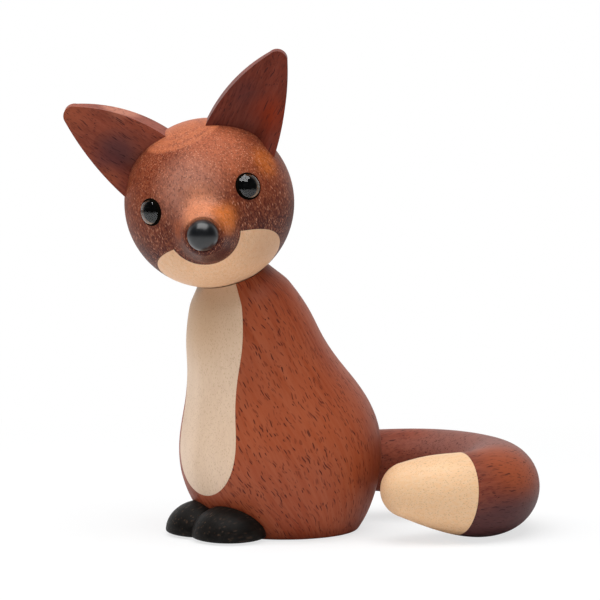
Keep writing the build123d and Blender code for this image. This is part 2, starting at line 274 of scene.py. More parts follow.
def add_ramp(tree, value, low, high):
    """A smooth step of a value from 0 at low to 1 at high."""
    ramp = tree.nodes.new("ShaderNodeMapRange")
    ramp.interpolation_type = "SMOOTHSTEP"
    for socket, edge in (("From Min", low), ("From Max", high)):
        if isinstance(edge, bpy.types.NodeSocket):
            tree.links.new(edge, ramp.inputs[socket])
        else:
            ramp.inputs[socket].default_value = edge
    tree.links.new(value, ramp.inputs["Value"])
    return ramp.outputs["Result"]


print("helpers ready")

# %% Wood figure: growth layers and fibres
LAYER_SPEED = 0.22  # how fast the layers change along the grain, with 1 across it
LAYER_EDGES = (0.32, 0.68)
FIBRE_EDGES = (0.3, 0.7)


def build_wood_figure():
    """Layers that wander along the grain, and fibres drawn out along it."""
    group, given, result = new_group(
        "wood_figure",
        {"Point": None, "Layer Scale": 0.12, "Fibre Scale": 1.6, "Fibre Length": 14.0},
        ("Layers", "Fibres"),
    )
    point = given.outputs["Point"]
    slow = add_stretch(group, point, 1.0, LAYER_SPEED)
    layer_noise = group.nodes.new("ShaderNodeTexNoise")
    layer_noise.inputs["Detail"].default_value = 2.5
    layer_noise.inputs["Distortion"].default_value = 0.6
    group.links.new(slow, layer_noise.inputs["Vector"])
    group.links.new(given.outputs["Layer Scale"], layer_noise.inputs["Scale"])
    layers = add_ramp(group, layer_noise.outputs["Fac"], *LAYER_EDGES)
    group.links.new(layers, result.inputs["Layers"])
    shrink = add_math(group, "DIVIDE", 1.0, given.outputs["Fibre Length"])
    drawn = add_stretch(group, point, 1.0, shrink)
    fibre_noise = group.nodes.new("ShaderNodeTexNoise")
    fibre_noise.inputs["Detail"].default_value = 4.0
    fibre_noise.inputs["Roughness"].default_value = 0.65
    group.links.new(drawn, fibre_noise.inputs["Vector"])
    group.links.new(given.outputs["Fibre Scale"], fibre_noise.inputs["Scale"])
    fibres = add_ramp(group, fibre_noise.outputs["Fac"], *FIBRE_EDGES)
    group.links.new(fibres, result.inputs["Fibres"])
    return group


wood_figure = build_wood_figure()
print("group:", wood_figure.name)

# %% Open pores: short dashes along the grain
PORE_WANDER = (1.6, 1.6, 0)
PORE_WANDER_SCALE = 0.25
PORE_EDGE = 1.8  # where a pore has faded out, as a share of its size
PATCH_SPEED = 0.3
PATCH_SCALE = 0.13
PATCH_START = 0.75  # where a patch of pores starts, as a share of the spread
PORE_DEPTHS = (-0.3, 0.8)
LEAST_PORES = 0.5


def build_open_pores():
    """Dashes from a Voronoi pattern drawn out along the grain, thinned in patches by a noise."""
    group, given, result = new_group(
        "open_pores",
        {"Point": None, "Pore Scale": 0.9, "Pore Length": 7.0, "Pore Size": 0.16, "Spread": 0.5},
        ("Pores",),
    )
    point = given.outputs["Point"]
    wander = group.nodes.new("ShaderNodeTexNoise")
    wander.inputs["Scale"].default_value = PORE_WANDER_SCALE
    wander.inputs["Detail"].default_value = 1.0
    group.links.new(point, wander.inputs["Vector"])
    push = group.nodes.new("ShaderNodeVectorMath")
    push.operation = "MULTIPLY_ADD"
    push.inputs[1].default_value = PORE_WANDER
    group.links.new(wander.outputs["Color"], push.inputs[0])
    group.links.new(point, push.inputs[2])
    shrink = add_math(group, "DIVIDE", 1.0, given.outputs["Pore Length"])
    drawn = add_stretch(group, push.outputs[0], 1.0, shrink)
    cells = group.nodes.new("ShaderNodeTexVoronoi")
    cells.inputs["Randomness"].default_value = 1.0
    group.links.new(drawn, cells.inputs["Vector"])
    group.links.new(given.outputs["Pore Scale"], cells.inputs["Scale"])
    edge = add_math(group, "MULTIPLY", given.outputs["Pore Size"], PORE_EDGE)
    inside = add_ramp(group, cells.outputs["Distance"], edge, given.outputs["Pore Size"])
    patches = add_noise(group, add_stretch(group, point, 1.0, PATCH_SPEED), PATCH_SCALE)
    low = add_math(group, "MULTIPLY", given.outputs["Spread"], PATCH_START)
    kept = add_ramp(group, patches, low, given.outputs["Spread"])
    tints = group.nodes.new("ShaderNodeSeparateColor")
    group.links.new(cells.outputs["Color"], tints.inputs[0])
    depth = add_ramp(group, tints.outputs["Red"], *PORE_DEPTHS)
    pores = add_math(group, "MULTIPLY", inside, depth)
    kept = add_math(group, "ADD", kept, LEAST_PORES)
    pores = add_math(group, "MULTIPLY", pores, kept, clamp=True)
    group.links.new(pores, result.inputs["Pores"])
    return group


open_pores = build_open_pores()
print("group:", open_pores.name)

# %% Pale flecks of the turned head
FLECK_EDGE = 1.6  # where a fleck has faded out, as a share of its size
FLECK_TINTS = (-0.1, 0.9)
FLECK_PATCH_SCALE = 0.16
FLECK_PATCHES = (0.3, 0.6)
LEAST_FLECKS = 0.5


def build_pale_flecks():
    """Small pale dots, closer in some patches, as end grain shows under a thin finish."""
    group, given, result = new_group(
        "pale_flecks",
        {"Point": None, "Fleck Scale": 1.5, "Fleck Length": 1.8, "Fleck Size": 0.26},
        ("Flecks",),
    )
    point = given.outputs["Point"]
    shrink = add_math(group, "DIVIDE", 1.0, given.outputs["Fleck Length"])
    drawn = add_stretch(group, point, 1.0, shrink)
    cells = group.nodes.new("ShaderNodeTexVoronoi")
    cells.inputs["Randomness"].default_value = 1.0
    group.links.new(drawn, cells.inputs["Vector"])
    group.links.new(given.outputs["Fleck Scale"], cells.inputs["Scale"])
    edge = add_math(group, "MULTIPLY", given.outputs["Fleck Size"], FLECK_EDGE)
    inside = add_ramp(group, cells.outputs["Distance"], edge, given.outputs["Fleck Size"])
    tints = group.nodes.new("ShaderNodeSeparateColor")
    group.links.new(cells.outputs["Color"], tints.inputs[0])
    bright = add_ramp(group, tints.outputs["Green"], *FLECK_TINTS)
    patches = add_ramp(group, add_noise(group, point, FLECK_PATCH_SCALE), *FLECK_PATCHES)
    flecks = add_math(group, "MULTIPLY", inside, bright)
    patches = add_math(group, "ADD", patches, LEAST_FLECKS)
    flecks = add_math(group, "MULTIPLY", flecks, patches, clamp=True)
    group.links.new(flecks, result.inputs["Flecks"])
    return group


pale_flecks = build_pale_flecks()
print("group:", pale_flecks.name)

# %% [markdown]
# Each wood starts the same way: a point in the frame of its own block, then figure, pores
# and flecks, mixed over two or three colours. The Principled shader stays in the material
# itself and takes its steady numbers on its own sockets.

# %% Helpers for wood finishes
MILLIMETRE = 0.001
OILED_WOOD = 0.46  # roughness of oiled wood between its pores
DARK_GLOSS = 0.1  # specular level of the darker woods


def start_finish(name, axes, centre=(0, 0, 0)):
    """A new material and a point in millimetres in the frame of its block."""
    finish = bpy.data.materials.new(name)
    finish.use_nodes = True
    tree = finish.node_tree
    place = tree.nodes.new("ShaderNodeTexCoord")
    mapping = tree.nodes.new("ShaderNodeMapping")
    mapping.vector_type = "TEXTURE"
    mapping.inputs["Location"].default_value = centre
    mapping.inputs["Rotation"].default_value = axes.to_euler()
    mapping.inputs["Scale"].default_value = (MILLIMETRE, MILLIMETRE, MILLIMETRE)
    tree.links.new(place.outputs["Object"], mapping.inputs["Vector"])
    return finish, tree, mapping.outputs[0]


def use_group(tree, group, point, values):
    """A group placed in a material with its own values."""
    node = tree.nodes.new("ShaderNodeGroup")
    node.node_tree = group
    tree.links.new(point, node.inputs["Point"])
    for socket, value in values.items():
        node.inputs[socket].default_value = value
    return node


def add_mix(tree, share, first, second):
    """A colour mix whose ends are sockets or colours; returns its output."""
    # Of a Mix node's sockets 0 is the factor, and 6 and 7 are the colours
    mix = tree.nodes.new("ShaderNodeMix")
    mix.data_type = "RGBA"
    mix.clamp_factor = True
    sockets = [mix.inputs[0], mix.inputs[6], mix.inputs[7]]
    for socket, operand in zip(sockets, (share, first, second)):
        if isinstance(operand, bpy.types.NodeSocket):
            tree.links.new(operand, socket)
        elif isinstance(operand, (int, float)):
            socket.default_value = operand
        else:
            socket.default_value = (*operand, 1)
    return mix.outputs[2]


def lay_coats(tree, colour, coats):
    """Tones laid over a colour in turn, each where its mask shows and as strongly as its share."""
    for mask, share, tone in coats:
        colour = add_mix(tree, add_math(tree, "MULTIPLY", mask, share), colour, tone)
    return colour


def finish_surface(tree, colour, roughness, height, depth, strength=0.35, gloss=0.2):
    """Feeds colour, roughness and a bump into the material's own Principled shader."""
    surface = tree.nodes["Principled BSDF"]
    surface.inputs["Specular IOR Level"].default_value = gloss
    tree.links.new(colour, surface.inputs["Base Color"])
    tree.links.new(roughness, surface.inputs["Roughness"])
    bump = tree.nodes.new("ShaderNodeBump")
    bump.inputs["Strength"].default_value = strength
    bump.inputs["Distance"].default_value = depth
    tree.links.new(height, bump.inputs["Height"])
    tree.links.new(bump.outputs["Normal"], surface.inputs["Normal"])


print("finish helpers ready")

# %% [markdown]
# The torso is the reddest wood, with dark dashes all down it. They are hardly wider than a
# scratch and a few millimetres long, and they lean more towards the fox's front. A straight
# pattern would be cut into dots wherever the pear's side slopes. So the pattern is read on
# a plain drum round the turning axis: the radius is left out, and the angle drifts with the
# height, more on the fox's front right than on its back left.

# %% Point on a drum round the turning axis
DRIFT_SIDE = (-0.305, -0.395, 0.0)  # half a unit, towards the side where the pattern drifts most


def add_drum_point(tree, point, radius, drift):
    """The point at the same angle and height on a drum, its angle drifting with the height."""
    split = tree.nodes.new("ShaderNodeSeparateXYZ")
    tree.links.new(point, split.inputs[0])
    flat = tree.nodes.new("ShaderNodeCombineXYZ")
    tree.links.new(split.outputs["X"], flat.inputs["X"])
    tree.links.new(split.outputs["Y"], flat.inputs["Y"])
    unit = tree.nodes.new("ShaderNodeVectorMath")
    unit.operation = "NORMALIZE"
    tree.links.new(flat.outputs[0], unit.inputs[0])
    side = tree.nodes.new("ShaderNodeVectorMath")
    side.operation = "DOT_PRODUCT"
    tree.links.new(unit.outputs[0], side.inputs[0])
    side.inputs[1].default_value = DRIFT_SIDE
    share = add_math(tree, "ADD", side.outputs["Value"], 0.5)
    turn = tree.nodes.new("ShaderNodeVectorRotate")
    turn.rotation_type = "Z_AXIS"
    tree.links.new(unit.outputs[0], turn.inputs["Vector"])
    angle = add_math(tree, "MULTIPLY", split.outputs["Z"], drift)
    angle = add_math(tree, "MULTIPLY", angle, share)
    tree.links.new(angle, turn.inputs["Angle"])
    grown = tree.nodes.new("ShaderNodeVectorMath")
    grown.operation = "SCALE"
    tree.links.new(turn.outputs[0], grown.inputs[0])
    grown.inputs["Scale"].default_value = radius
    raised = tree.nodes.new("ShaderNodeCombineXYZ")
    tree.links.new(split.outputs["Z"], raised.inputs["Z"])
    total = tree.nodes.new("ShaderNodeVectorMath")
    tree.links.new(grown.outputs[0], total.inputs[0])
    tree.links.new(raised.outputs[0], total.inputs[1])
    return total.outputs[0]


print("drum helper ready")

# %% Mahogany of the torso
DRUM_RADIUS = 25.0
DRUM_DRIFT = 0.016  # radians for each millimetre of height
PORE_SINK = 0.00008  # depth of the bump in metres


def make_torso_wood():
    """Red-brown open-grained hardwood, its grain along the torso's turning axis."""
    finish, tree, point = start_finish("torso_mahogany", torso_axes)
    drum = add_drum_point(tree, point, DRUM_RADIUS, DRUM_DRIFT)
    layers = use_group(tree, wood_figure, point, {"Layer Scale": 0.055})
    figure = use_group(
        tree, wood_figure, drum, {"Layer Scale": 0.11, "Fibre Scale": 1.1, "Fibre Length": 14.0}
    )
    dashes = use_group(
        tree, open_pores, drum,
        {"Pore Scale": 1.75, "Pore Length": 9.0, "Pore Size": 0.16, "Spread": 0.45},
    ).outputs["Pores"]
    scratches = use_group(
        tree, open_pores, drum,
        {"Pore Scale": 1.9, "Pore Length": 7.0, "Pore Size": 0.2, "Spread": 0.42},
    ).outputs["Pores"]
    colour = add_mix(tree, layers.outputs["Layers"], (0.235, 0.036, 0.009), (0.33, 0.068, 0.022))
    colour = lay_coats(tree, colour, (
        (figure.outputs["Layers"], 0.3, (0.23, 0.030, 0.008)),
        (figure.outputs["Fibres"], 0.5, (0.40, 0.11, 0.05)),
        (scratches, 0.6, (0.14, 0.022, 0.008)),
        (dashes, 0.85, (0.065, 0.010, 0.006)),
    ))
    cut = add_math(tree, "ADD", dashes, add_math(tree, "MULTIPLY", scratches, 0.4))
    raised = add_math(tree, "MULTIPLY", figure.outputs["Fibres"], 0.15)
    height = add_math(tree, "SUBTRACT", raised, cut)
    rough = add_math(tree, "MULTIPLY_ADD", cut, 0.2, OILED_WOOD)
    finish_surface(tree, colour, rough, height, PORE_SINK)
    return finish


torso_wood = make_torso_wood()
print("finish:", torso_wood.name)

# %% [markdown]
# The head is darker, nearly purple below and on its sides, and orange where the turning has
# cut through a lighter growth layer: on top, above a clear arc, and round the top of the
# muzzle. Its darkening towards the bottom and under the nose is painted shade. The ball and
# the muzzle are one wood, so one finish in the head's own frame runs through both and hides
# their joint. A few soft spots place the warm patches, and a painted sheen on the brow and
# over the top of the muzzle.

# %% Helper for warm patches
def add_spot(tree, point, centre, radius, soft):
    """A soft round patch: 1 within the radius of its centre, 0 beyond its soft edge."""
    reach = tree.nodes.new("ShaderNodeVectorMath")
    reach.operation = "DISTANCE"
    tree.links.new(point, reach.inputs[0])
    reach.inputs[1].default_value = centre
    return add_ramp(tree, reach.outputs["Value"], radius + soft, radius)


def lay_spots(tree, point, spots):
    """The coats for a list of spots, each a centre, a radius, a soft edge, a share and a tone."""
    return [
        (add_spot(tree, point, centre, radius, soft), share, tone)
        for centre, radius, soft, share, tone in spots
    ]


print("spot helpers ready")

# %% Mahogany of the head
# Each spot: centre in millimetres from the middle of the ball, radius, soft edge, share, tone
WARM_AND_SHEEN_SPOTS = (
    ((9, -15, 18), 5.0, 9.0, 0.8, (0.42, 0.11, 0.045)),
    ((20.5, -10, 10), 1.5, 5.5, 0.85, (0.50, 0.12, 0.015)),
    # Painted sheen on the brow between the eyes.
    ((-2, -24, 12), 3.0, 12.0, 0.75, (0.47, 0.22, 0.16)),
    # The muzzle's orange top: the wood's own orange, and partly a painted highlight.
    ((1, -30, 9), 4.0, 6.5, 0.95, (0.66, 0.25, 0.125)),
    ((8.5, -28.5, 2), 2.5, 5.0, 0.9, (0.70, 0.19, 0.035)),
    ((-8, -27, 1), 0.5, 4.5, 0.6, (0.42, 0.10, 0.03)),
)
# Painted shade below the nose, on the underside of the muzzle.
NOSE_SHADE_SPOT = ((0, -33, -10), 7.5, 3.0)
LAYER_WANDER = 7.0  # how far a layer can wander in all, in millimetres
CAP_TILT = (-0.066, -0.09)
CAP_WANDER = 0.08
CAP_EDGES = (22.1, 22.7)  # millimetres above the middle of the ball
RING_SPEED = 6.0  # radians for each millimetre, so the rings are about 1 mm apart
FLECK_SINK = 0.00005


def add_head_levels(tree, point):
    """Heights on the ball: one for its slow shading, and one square to the pale cap's edge."""
    axis = tree.nodes.new("ShaderNodeSeparateXYZ")
    tree.links.new(point, axis.inputs[0])
    waves = add_noise(tree, point, 0.08)
    wander = add_math(tree, "MULTIPLY_ADD", waves, LAYER_WANDER, -LAYER_WANDER / 2)
    level = add_math(tree, "ADD", axis.outputs["Z"], wander)
    tilted = axis.outputs["Z"]
    for part, share in zip((axis.outputs["X"], axis.outputs["Y"], wander), (*CAP_TILT, CAP_WANDER)):
        tilted = add_math(tree, "ADD", tilted, add_math(tree, "MULTIPLY", part, share))
    return level, tilted


def make_head_wood():
    """Dark red-brown wood of the ball and the muzzle, with its growth layers and flecks."""
    finish, tree, point = start_finish("head_mahogany", head_axes, HEAD_CENTRE)
    figure = use_group(
        tree, wood_figure, point, {"Layer Scale": 0.07, "Fibre Scale": 0.7, "Fibre Length": 5.0}
    )
    strands = use_group(
        tree, wood_figure, point, {"Layer Scale": 0.5, "Fibre Scale": 1.9, "Fibre Length": 2.6}
    ).outputs["Fibres"]
    flecks = use_group(
        tree, pale_flecks, point, {"Fleck Scale": 1.9, "Fleck Length": 3.0, "Fleck Size": 0.20}
    ).outputs["Flecks"]
    dust = use_group(
        tree, pale_flecks, point, {"Fleck Scale": 2.9, "Fleck Length": 3.0, "Fleck Size": 0.26}
    ).outputs["Flecks"]
    level, tilted = add_head_levels(tree, point)
    cap = add_ramp(tree, tilted, *CAP_EDGES)
    rings = add_math(tree, "SINE", add_math(tree, "MULTIPLY", tilted, RING_SPEED))
    ringed_cap = add_math(tree, "MULTIPLY", cap, add_ramp(tree, rings, 0.1, 0.9))
    nose_shade = add_spot(tree, point, *NOSE_SHADE_SPOT)
    hair = add_ramp(tree, strands, 0.45, 0.85)
    hair = add_math(tree, "MULTIPLY", hair, add_math(tree, "SUBTRACT", 1.0, nose_shade))
    # Painted shade: the ball goes darker towards its bottom, where less light falls.
    upper = add_ramp(tree, level, -9.0, 10.0)
    colour = add_mix(tree, upper, (0.065, 0.018, 0.014), (0.17, 0.033, 0.012))
    colour = lay_coats(tree, colour, (
        (figure.outputs["Layers"], 0.4, (0.20, 0.042, 0.018)),
        *lay_spots(tree, point, WARM_AND_SHEEN_SPOTS),
        (cap, 0.85, (0.50, 0.15, 0.065)),
        (ringed_cap, 0.4, (0.26, 0.07, 0.04)),
        (figure.outputs["Fibres"], 0.3, (0.05, 0.011, 0.008)),
        # Painted shade: a deeper darkening of the ball's underside.
        (add_ramp(tree, level, -3.0, -9.0), 0.9, (0.050, 0.014, 0.013)),
        (nose_shade, 0.85, (0.050, 0.012, 0.011)),
        (add_ramp(tree, strands, 0.45, 0.1), 0.45, (0.045, 0.009, 0.006)),
        (hair, 0.28, (0.42, 0.12, 0.055)),
        (dust, 0.45, (0.50, 0.17, 0.085)),
        (flecks, 0.5, (0.68, 0.32, 0.20)),
    ))
    rough = add_math(tree, "MULTIPLY_ADD", flecks, 0.1, OILED_WOOD)
    height = add_math(tree, "MULTIPLY", flecks, -0.6)
    finish_surface(tree, colour, rough, height, FLECK_SINK, gloss=DARK_GLOSS)
    return finish


head_wood = make_head_wood()
print("finish:", head_wood.name)

# %% [markdown]
# Ears and tail are the darkest of the red woods, with long dark streaks. The grain runs up
# each ear. The tail was cut from one plank, so its grain stays straight where it bends, and
# shows as long streaks on its straight part and as dots where it turns.

# %% Dark mahogany of the ears and the tail
def make_streaked_wood(name, axes, centre, dark, light, warm, spots=()):
    """Dark red-brown wood with long streaks along the grain and a few patches: warm tones of the
    wood, painted shade and painted highlight.
    """
    finish, tree, point = start_finish(name, axes, centre)
    figure = use_group(
        tree, wood_figure, point, {"Layer Scale": 0.09, "Fibre Scale": 1.3, "Fibre Length": 9.0}
    )
    streaks = use_group(
        tree, open_pores, point,
        {"Pore Scale": 1.5, "Pore Length": 14.0, "Pore Size": 0.15, "Spread": 0.40},
    ).outputs["Pores"]
    scratches = use_group(
        tree, open_pores, point,
        {"Pore Scale": 2.2, "Pore Length": 7.0, "Pore Size": 0.2, "Spread": 0.42},
    ).outputs["Pores"]
    colour = add_mix(tree, figure.outputs["Layers"], dark, light)
    colour = lay_coats(tree, colour, (
        (figure.outputs["Fibres"], 0.45, warm),
        *lay_spots(tree, point, spots),
        (scratches, 0.45, (0.045, 0.012, 0.01)),
        (streaks, 0.75, (0.03, 0.010, 0.010)),
    ))
    raised = add_math(tree, "MULTIPLY", figure.outputs["Fibres"], 0.2)
    height = add_math(tree, "SUBTRACT", raised, streaks)
    rough = add_math(tree, "MULTIPLY_ADD", streaks, 0.2, OILED_WOOD)
    finish_surface(tree, colour, rough, height, PORE_SINK, gloss=DARK_GLOSS)
    return finish


# Spots are in millimetres in the frame of each piece's own grain, which is its local Z
EAR_LEAN = math.radians(40.8)
EAR_TONE_AND_SHADE_LEFT = (
    ((4, -4, 33), 1.0, 7.0, 0.75, (0.23, 0.026, 0.006)),
    # Painted shade in the hollow of the ear's scoop.
    ((-5, -5, 36), 1.0, 6.0, 0.4, (0.06, 0.020, 0.022)),
)
EAR_TONE_SHADE_AND_SHEEN_RIGHT = (
    ((0, -4, 49), 1.0, 9.0, 0.6, (0.33, 0.080, 0.036)),
    # Painted shade in the hollow of the ear's scoop.
    ((-2, -3, 31), 2.0, 7.0, 0.8, (0.085, 0.028, 0.030)),
    ((-9, -4, 29), 0.5, 5.0, 0.5, (0.28, 0.066, 0.026)),
    # Painted highlight: the ear's upper inner edge, lit from above, with its sheen.
    ((10, 3, 37), 4.0, 3.5, 0.7, (0.46, 0.18, 0.115)),
)
TAIL_TONE_SHADE_AND_SHEEN_SPOTS = (
    ((53, -22, 36), 5.0, 12.0, 0.7, (0.34, 0.075, 0.025)),
    # Painted sheen on the tail's upper side.
    ((30, -30, 52), 15.0, 14.0, 0.6, (0.25, 0.115, 0.095)),
    # Painted shade by the tail's root, beside the torso.
    ((14, -10, 42), 6.0, 10.0, 0.8, (0.05, 0.018, 0.016)),
    # Painted shade over the tail's lower half.
    ((50, 40, 35), 50.0, 8.0, 0.85, (0.070, 0.028, 0.030)),
)
ear_axes = {side: head_axes @ Matrix.Rotation(side * EAR_LEAN, 4, "Y") for side in (1, -1)}
tail_axes = Matrix.Rotation(math.radians(-90), 4, "X")
ear_wood_left = make_streaked_wood(
    "ear_mahogany_left", ear_axes[1], HEAD_CENTRE,
    (0.105, 0.018, 0.010), (0.155, 0.027, 0.015), (0.22, 0.052, 0.032), EAR_TONE_AND_SHADE_LEFT,
)
ear_wood_right = make_streaked_wood(
    "ear_mahogany_right", ear_axes[-1], HEAD_CENTRE,
    (0.15, 0.030, 0.017), (0.23, 0.048, 0.024), (0.32, 0.085, 0.05), EAR_TONE_SHADE_AND_SHEEN_RIGHT,
)
tail_wood = make_streaked_wood(
    "tail_mahogany", tail_axes, (0, 0, 0),
    (0.13, 0.030, 0.022), (0.22, 0.048, 0.026), (0.32, 0.095, 0.055), TAIL_TONE_SHADE_AND_SHEEN_SPOTS,
)
print("finishes:", ear_wood_left.name, ear_wood_right.name, tail_wood.name)

# %% [markdown]
# Maple is pale and close-grained: its fibres are hair-fine and its pores hardly darker than
# the wood round them.

# %% Maple of the belly, the chin and the tail's tip
MAPLE_SINK = 0.00004


def make_maple(name, axes, centre, light, shade, spots=()):
    """Pale close-grained wood with hair-fine fibres, and any spots of painted shade laid over it.
    """
    finish, tree, point = start_finish(name, axes, centre)
    figure = use_group(
        tree, wood_figure, point, {"Layer Scale": 0.06, "Fibre Scale": 1.3, "Fibre Length": 22.0}
    )
    pores = use_group(
        tree, open_pores, point,
        {"Pore Scale": 2.6, "Pore Length": 3.0, "Pore Size": 0.2, "Spread": 0.45},
    ).outputs["Pores"]
    colour = add_mix(tree, figure.outputs["Layers"], light, shade)
    colour = lay_coats(tree, colour, (
        (figure.outputs["Fibres"], 0.35, (0.80, 0.62, 0.44)),
        *lay_spots(tree, point, spots),
        (pores, 0.45, (0.42, 0.25, 0.14)),
    ))
    height = add_math(tree, "MULTIPLY", pores, -0.5)
    rough = add_math(tree, "MULTIPLY_ADD", pores, 0.1, OILED_WOOD)
    finish_surface(tree, colour, rough, height, MAPLE_SINK)
    return finish


# Painted shadow of the chin, darkening the top of the belly.
BELLY_CHIN_SHADOW = (((0, -20, 82), 8.0, 20.0, 0.7, (0.52, 0.32, 0.18)),)
# Painted shade on the chin's side towards the head's left, away from the light.
CHIN_SIDE_SHADE = (((16, -16, -12), 2.0, 12.0, 0.6, (0.50, 0.29, 0.17)),)
belly_maple = make_maple(
    "belly_maple", torso_axes, (0, 0, 0), (0.76, 0.57, 0.43), (0.67, 0.48, 0.34), BELLY_CHIN_SHADOW
)
chin_maple = make_maple(
    "chin_maple", head_axes, HEAD_CENTRE, (0.74, 0.42, 0.23), (0.64, 0.35, 0.19), CHIN_SIDE_SHADE
)
tip_maple = make_maple("tip_maple", tail_axes, (0, 0, 0), (0.86, 0.54, 0.30), (0.78, 0.48, 0.26))
print("finishes:", belly_maple.name, chin_maple.name, tip_maple.name)

# %% [markdown]
# The feet are stained black before they are glued on. A little brown still shows in their
# pores, and the stain is duller than oil.

# %% Black-stained wood of the feet
STAINED_WOOD = 0.42
STAIN_GLOSS = 0.12
STAIN_SINK = 0.00006
foot_axes = Matrix.Rotation(math.radians(90), 4, "X")


def make_black_stain():
    """Hardwood stained black, with a trace of brown in the grain."""
    finish, tree, point = start_finish("black_stained_wood", foot_axes)
    fibres = use_group(
        tree, wood_figure, point, {"Layer Scale": 0.12, "Fibre Scale": 0.9, "Fibre Length": 8.0}
    ).outputs["Fibres"]
    pores = use_group(
        tree, open_pores, point,
        {"Pore Scale": 1.0, "Pore Length": 4.0, "Pore Size": 0.2, "Spread": 0.5},
    ).outputs["Pores"]
    colour = add_mix(tree, fibres, (0.0045, 0.0038, 0.0033), (0.010, 0.0082, 0.007))
    colour = lay_coats(tree, colour, ((pores, 0.6, (0.055, 0.032, 0.020)),))
    rough = add_math(tree, "MULTIPLY_ADD", fibres, 0.15, STAINED_WOOD)
    height = add_math(tree, "SUBTRACT", fibres, pores)
    finish_surface(tree, colour, rough, height, STAIN_SINK, gloss=STAIN_GLOSS)
    return finish


black_stain = make_black_stain()
print("finish:", black_stain.name)

# %% [markdown]
# Dowels are plain beech. They are hidden in the glued-up fox, but they are still pieces.

# %% Beech of the dowels
UNFINISHED_WOOD = 0.6
DOWEL_SINK = 0.00005


def make_beech():
    """Plain pale dowel wood."""
    finish, tree, point = start_finish("beech_dowel", torso_axes)
    fibres = use_group(
        tree, wood_figure, point, {"Layer Scale": 0.3, "Fibre Scale": 2.0, "Fibre Length": 10.0}
    ).outputs["Fibres"]
    colour = add_mix(tree, fibres, (0.42, 0.26, 0.14), (0.56, 0.38, 0.23))
    rough = add_math(tree, "MULTIPLY_ADD", fibres, 0.1, UNFINISHED_WOOD)
    finish_surface(tree, colour, rough, fibres, DOWEL_SINK)
    return finish


beech = make_beech()
print("finish:", beech.name)

# %% Give the carried-over pieces their finishes
def dress(name, finish):
    """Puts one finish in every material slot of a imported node."""
    node = nodes[name]
    for slot in node.material_slots:
        slot.material = finish
    for polygon in node.data.polygons:
        polygon.use_smooth = True


finishes = {
    "torso": torso_wood,
    "belly_panel": belly_maple,
    "head_ball": head_wood,
    "chin_panel": chin_maple,
    "muzzle": head_wood,
    "ear_left": ear_wood_left,
    "ear_right": ear_wood_right,
    "tail": tail_wood,
    "tail_tip": tip_maple,
    "neck_pin": beech,
    "tail_root_dowel": beech,
    "tail_tip_dowel": beech,
}
for hand in ("left", "right"):
    finishes["foot_" + hand] = black_stain
    finishes["foot_dowel_" + hand] = beech
    finishes["ear_dowels_" + hand] = beech
for name, finish in finishes.items():
    dress(name, finish)
print("dressed:", len(finishes), "of", len(nodes), "nodes")

# %% [markdown]
# The nose is a lacquered ball on a spigot. Its gloss mirrors the soft box, so it needs a
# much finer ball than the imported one. A sphere's own back cap is taken off, and its open
# edge is drawn out to the spigot.

# %% Frames of the nose and the eyes
NOSE_RADIUS = 0.0045
SPIGOT_RADIUS = 0.0015
SPIGOT_LENGTH = 0.005
NOSE_REACH = 0.0095
NOSE_DROP = 0.0001
NOSE_TURN = math.radians(81)
EYE_SPREAD = math.radians(37.6)
EYE_RISE = math.radians(15.2)
SHARP_ANGLE = math.radians(30)
MERGE_DISTANCE = 1e-7
ROUND_STEPS = 96
nose_place = Matrix.Translation((0, -BALL_RADIUS - NOSE_REACH, -NOSE_DROP))
nose_frame = head_frame @ nose_place @ Matrix.Rotation(NOSE_TURN, 4, "X")


def eye_frame(side):
    """An eye's own frame: Z out of the socket, from the centre of the ball."""
    aside = Matrix.Rotation(side * EYE_SPREAD, 4, "Z")
    return head_frame @ aside @ Matrix.Rotation(math.radians(90) - EYE_RISE, 4, "X")


def verts_of(geometry):
    """The vertices in what a bmesh operator made."""
    return [item for item in geometry if isinstance(item, bmesh.types.BMVert)]


def all_of(bm):
    """Every vertex, edge and face of a bmesh."""
    return bm.verts[:] + bm.edges[:] + bm.faces[:]


def open_edges(bm):
    """The edges round the openings of a bmesh."""
    return [edge for edge in bm.edges if edge.is_boundary]


def finish_piece(name, bm, frame_of_piece, finish, slot, *replaced):
    """Closes a bmesh into a smooth named piece of the head, in its place and with its finish."""
    bmesh.ops.transform(bm, matrix=frame_of_piece, verts=bm.verts)
    bmesh.ops.remove_doubles(bm, verts=bm.verts, dist=MERGE_DISTANCE)
    bmesh.ops.recalc_face_normals(bm, faces=bm.faces)
    mesh = bpy.data.meshes.new(name)
    for face in bm.faces:
        face.smooth = True
    for edge in bm.edges:
        edge.smooth = edge.calc_face_angle(0.0) < SHARP_ANGLE
    bm.to_mesh(mesh)
    bm.free()
    mesh.materials.append(finish)
    piece = bpy.data.objects.new(name, mesh)
    scene.collection.objects.link(piece)
    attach(piece, "head")
    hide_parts(*replaced)
    print("made:", name, len(mesh.polygons), "faces")


print("piece helpers ready")

# %% Black lacquer
LACQUER_ROUGHNESS = 0.27
LACQUER_GLOSS = 0.6
LACQUER_WAVES = 0.00003


def make_lacquer():
    """Glossy black with a faint unevenness, as sprayed lacquer has."""
    finish, tree, point = start_finish("nose_lacquer", head_axes, HEAD_CENTRE)
    cloud = add_noise(tree, point, 0.5)
    colour = add_mix(tree, cloud, (0.0035, 0.004, 0.005), (0.006, 0.007, 0.009))
    rough = add_math(tree, "MULTIPLY_ADD", cloud, 0.05, LACQUER_ROUGHNESS)
    waves = add_noise(tree, point, 1.4)
    finish_surface(tree, colour, rough, waves, LACQUER_WAVES, strength=0.05, gloss=LACQUER_GLOSS)
    return finish


nose_lacquer = make_lacquer()
print("finish:", nose_lacquer.name)

